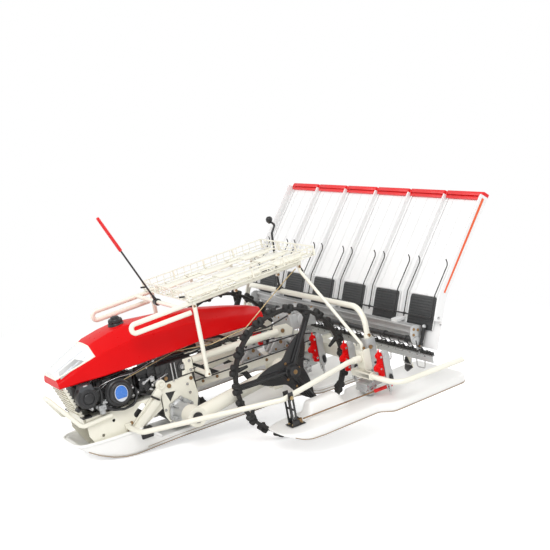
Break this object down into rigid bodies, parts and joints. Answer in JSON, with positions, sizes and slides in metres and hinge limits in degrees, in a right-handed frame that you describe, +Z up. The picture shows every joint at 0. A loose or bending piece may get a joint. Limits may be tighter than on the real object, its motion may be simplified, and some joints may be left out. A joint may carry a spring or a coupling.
{
  "type": "walk-behind rice transplanter",
  "caption": "Walk-behind rice transplanter on lugged wheels and floats, with a bonneted engine, spare seedling rack, planting arms and a sloping seedling tray.",
  "frame": {"origin": "on the ground under the middle of the machine's outer box", "axes": "+X to the machine's left, +Y to the rear (the person walks there), +Z up; it is parked nose down on both wheels and the centre float"},
  "size_m": [1.81, 2.2864, 1.147],
  "materials": {
    "cream_paint": "gloss warm cream enamel",
    "red_paint": "gloss red enamel",
    "black_paint": "satin black enamel",
    "cast_metal": "as cast, light grey",
    "steel": "satin",
    "white_plastic": "smooth white",
    "red_plastic": "smooth red",
    "black_plastic": "satin black",
    "tyre_rubber": "matt black",
    "black_rubber": "matt black",
    "lamp_lens": "clear lens over a bright reflector",
    "engine_metal": "dark cast metal",
    "cast_iron": "painted light grey"
  },
  "bodies": {
    "chassis": {"air_cleaner": "black_plastic", "arm_covers": "red_paint", "axle_housings": "cast_metal", "bonnet": "red_paint", "centre_float": "white_plastic", "cross_beam": "cream_paint", "cross_hoop": "cream_paint", "drive_beam": "cream_paint", "engine": "engine_metal", "feed_case": "cast_metal", "feed_shaft": "black_paint", "float_left": "white_plastic", "float_link_left": "black_paint", "float_link_right": "black_paint", "float_right": "white_plastic", "frame_braces": "cream_paint", "frame_side_left": "cream_paint", "frame_side_right": "cream_paint", "front_frame": "cream_paint", "front_guard": "cream_paint", "front_panel": "cream_paint", "fuel_cap": "black_plastic", "gear_lever": "black_paint", "gearbox": "cast_iron", "gearbox_cheeks": "cream_paint", "guide_channel": "cast_metal", "handle_grips": "black_rubber", "handlebars": "cream_paint", "headlight": "lamp_lens", "lower_rail": "cast_metal", "main_tubes": "cream_paint", "planting_arms": "steel", "planting_cases": "cast_metal", "rack_basket": "cream_paint", "rack_frame": "cream_paint", "rack_stays": "cream_paint", "rear_guard_left": "cream_paint", "rear_guard_right": "cream_paint", "recoil_starter": "black_plastic", "seedling_rail": "black_paint", "side_tube_left": "cream_paint", "side_tube_right": "cream_paint", "swing_arm_left": "cream_paint", "swing_arm_right": "cream_paint"},
    "wheel_left": {"wheel_left": "black_paint", "tyre_left": "tyre_rubber"},
    "wheel_right": {"wheel_right": "black_paint", "tyre_right": "tyre_rubber"},
    "tray": {"tray_panel": "white_plastic", "tray_ribs": "white_plastic", "tray_caps": "red_plastic", "feed_belts": "black_rubber", "press_rods": "black_paint"},
    "centre_marker": {"centre_marker": "black_paint"},
    "side_marker_left": {"side_marker_left": "black_paint"},
    "side_marker_right": {"side_marker_right": "black_paint"}
  },
  "joints": [
    {"name": "wheel_spin_left", "type": "hinge", "parent": "chassis", "child": "wheel_left", "pos_m": [0.355, -0.01191, 0.33], "axis": [1, 0, 0], "continuous": true},
    {"name": "wheel_spin_right", "type": "hinge", "parent": "chassis", "child": "wheel_right", "pos_m": [-0.355, -0.01191, 0.33], "axis": [1, 0, 0], "continuous": true},
    {"name": "tray_slide", "type": "slide", "parent": "chassis", "child": "tray", "axis": [1, 0, 0], "range_m": [-0.14, 0.14]},
    {"name": "centre_marker_fold", "type": "hinge", "parent": "chassis", "child": "centre_marker", "pos_m": [0, -0.53684, 0.69879], "axis": [1, 0, 0], "range_deg": [-20, 45]},
    {"name": "side_marker_fold_left", "type": "hinge", "parent": "chassis", "child": "side_marker_left", "pos_m": [0.622, -0.12586, 0.14514], "axis": [0, -0.1358, 0.9907], "range_deg": [-100, 0]},
    {"name": "side_marker_fold_right", "type": "hinge", "parent": "chassis", "child": "side_marker_right", "pos_m": [-0.622, -0.12586, 0.14514], "axis": [0, -0.1358, 0.9907], "range_deg": [0, 100]}
  ]
}
